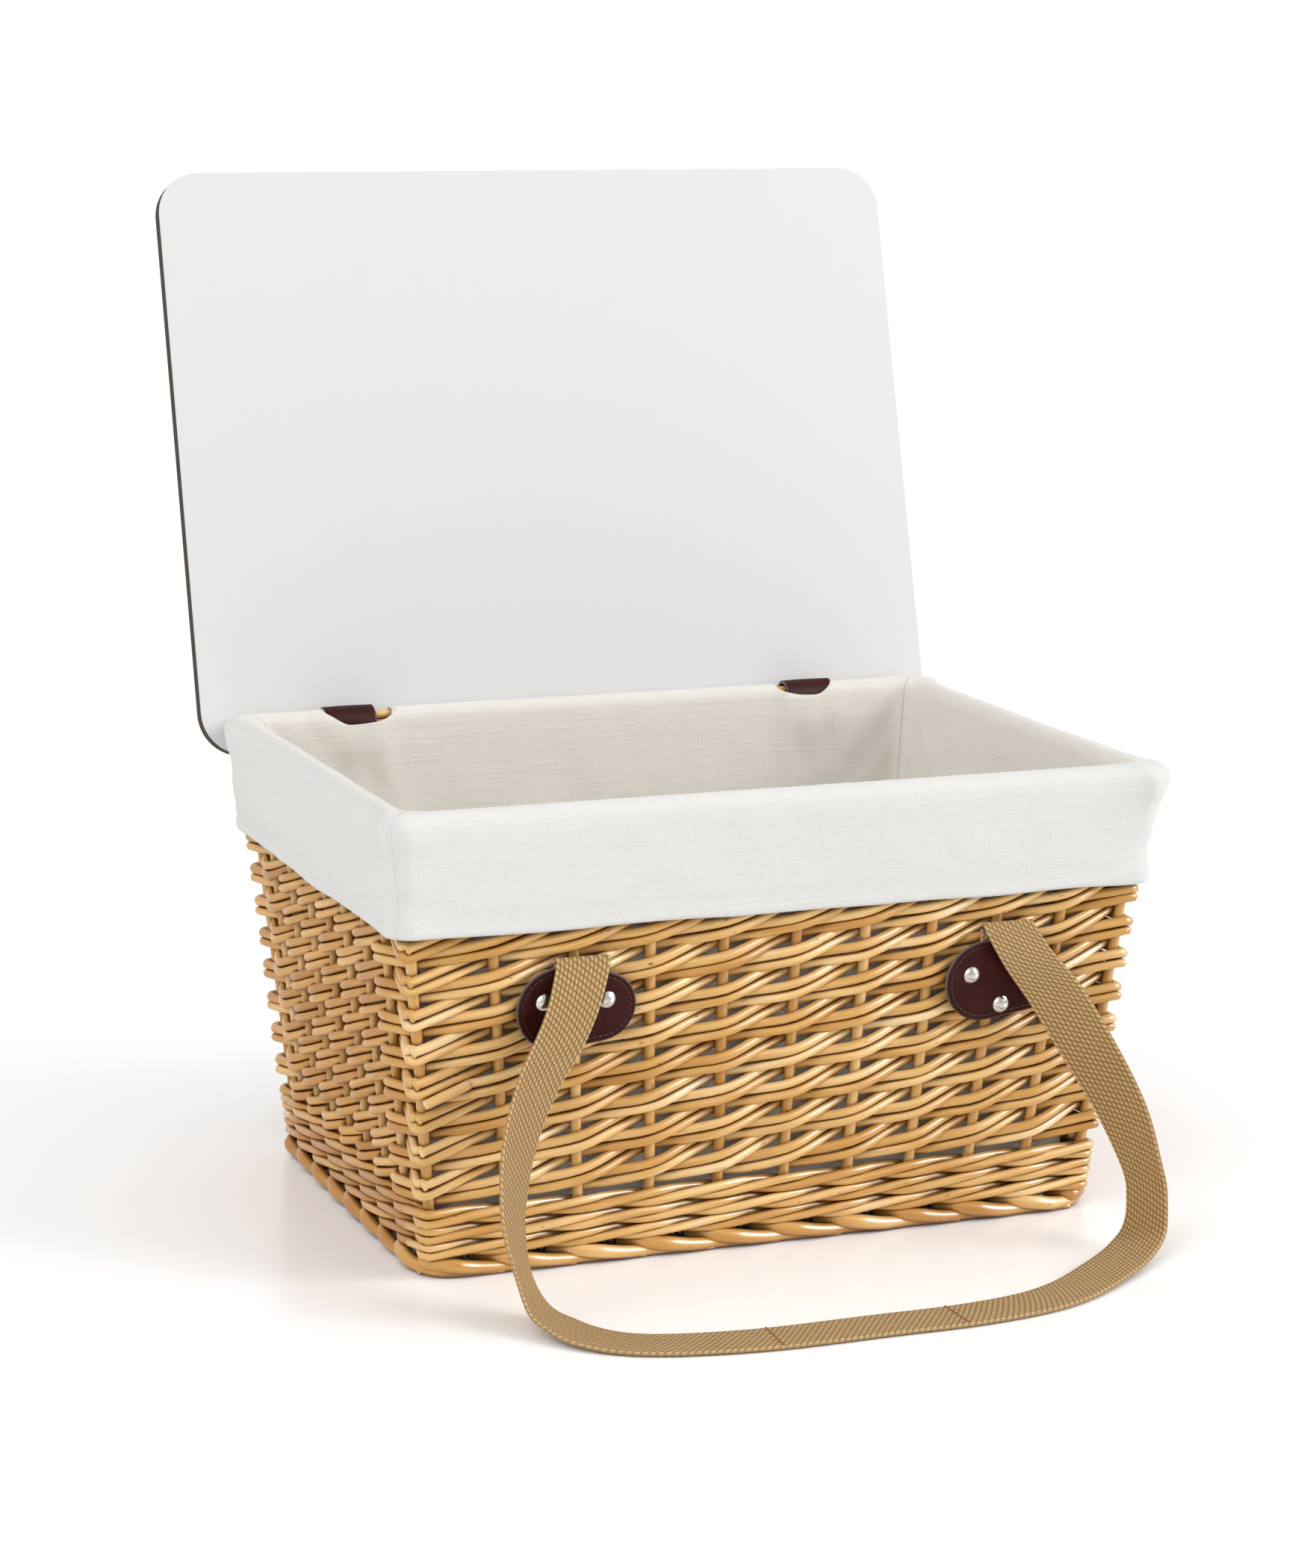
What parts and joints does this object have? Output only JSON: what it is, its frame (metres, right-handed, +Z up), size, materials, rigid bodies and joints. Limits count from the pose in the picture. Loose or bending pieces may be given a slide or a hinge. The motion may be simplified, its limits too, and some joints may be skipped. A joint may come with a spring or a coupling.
{
  "type": "lidded wicker basket",
  "caption": "Rectangular woven willow basket with a cloth liner folded over the rim, a hinged flat lid and webbing carry handles riveted to leather patches.",
  "frame": {"origin": "on the floor under the middle of the basket's base, which is also within 5 mm of the middle of the whole object's outline on the floor", "axes": "+X along the long walls, +Y from the front wall to the rear wall that carries the lid, +Z up"},
  "size_m": [0.455, 0.59, 0.5558],
  "materials": {
    "willow": "satin",
    "willow_dark": "satin",
    "cloth": "matte",
    "leather": "satin",
    "webbing": "matte",
    "lid": "matte",
    "rivet": "polished"
  },
  "bodies": {
    "basket": {"base_sticks": "willow", "base_weave": "willow", "front_foot_border": "willow_dark", "right_foot_border": "willow_dark", "rear_foot_border": "willow_dark", "left_foot_border": "willow_dark", "corner_stakes": "willow_dark", "front_stakes": "willow_dark", "rear_stakes": "willow_dark", "left_stakes": "willow_dark", "right_stakes": "willow_dark", "front_wale": "willow_dark", "rear_wale": "willow_dark", "left_wale": "willow_dark", "right_wale": "willow_dark", "front_weave": "willow", "rear_weave": "willow", "left_weave": "willow", "right_weave": "willow", "front_left_corner_weave": "willow", "front_right_corner_weave": "willow", "rear_right_corner_weave": "willow", "rear_left_corner_weave": "willow", "upper_rows": "willow", "top_border": "willow", "liner_bottom": "cloth", "liner_front": "cloth", "liner_rear": "cloth", "liner_left": "cloth", "liner_right": "cloth", "front_left_patch": "leather", "front_right_patch": "leather", "rear_left_patch": "leather", "rear_right_patch": "leather", "front_patch_rivets": "rivet", "rear_patch_rivets": "rivet", "front_webbing_ends": "webbing", "rear_webbing_ends": "webbing"},
    "lid": {"lid_board": "lid", "left_hinge_loop": "leather", "right_hinge_loop": "leather", "hinge_rivets": "rivet"},
    "front_handle": {"front_handle_webbing": "webbing"},
    "rear_handle": {"rear_handle_webbing": "webbing"}
  },
  "joints": [
    {"name": "lid_hinge", "type": "hinge", "parent": "basket", "child": "lid", "pos_m": [0, 0.15054, 0.2447], "axis": [1, 0, 0], "range_deg": [0, 105.7]},
    {"name": "front_handle_swing", "type": "hinge", "parent": "basket", "child": "front_handle", "pos_m": [0, -0.15258, 0.1706], "axis": [-1, 0, 0], "range_deg": [0, 120]},
    {"name": "rear_handle_swing", "type": "hinge", "parent": "basket", "child": "rear_handle", "pos_m": [0, 0.15258, 0.1706], "axis": [1, 0, 0], "range_deg": [0, 110]}
  ]
}
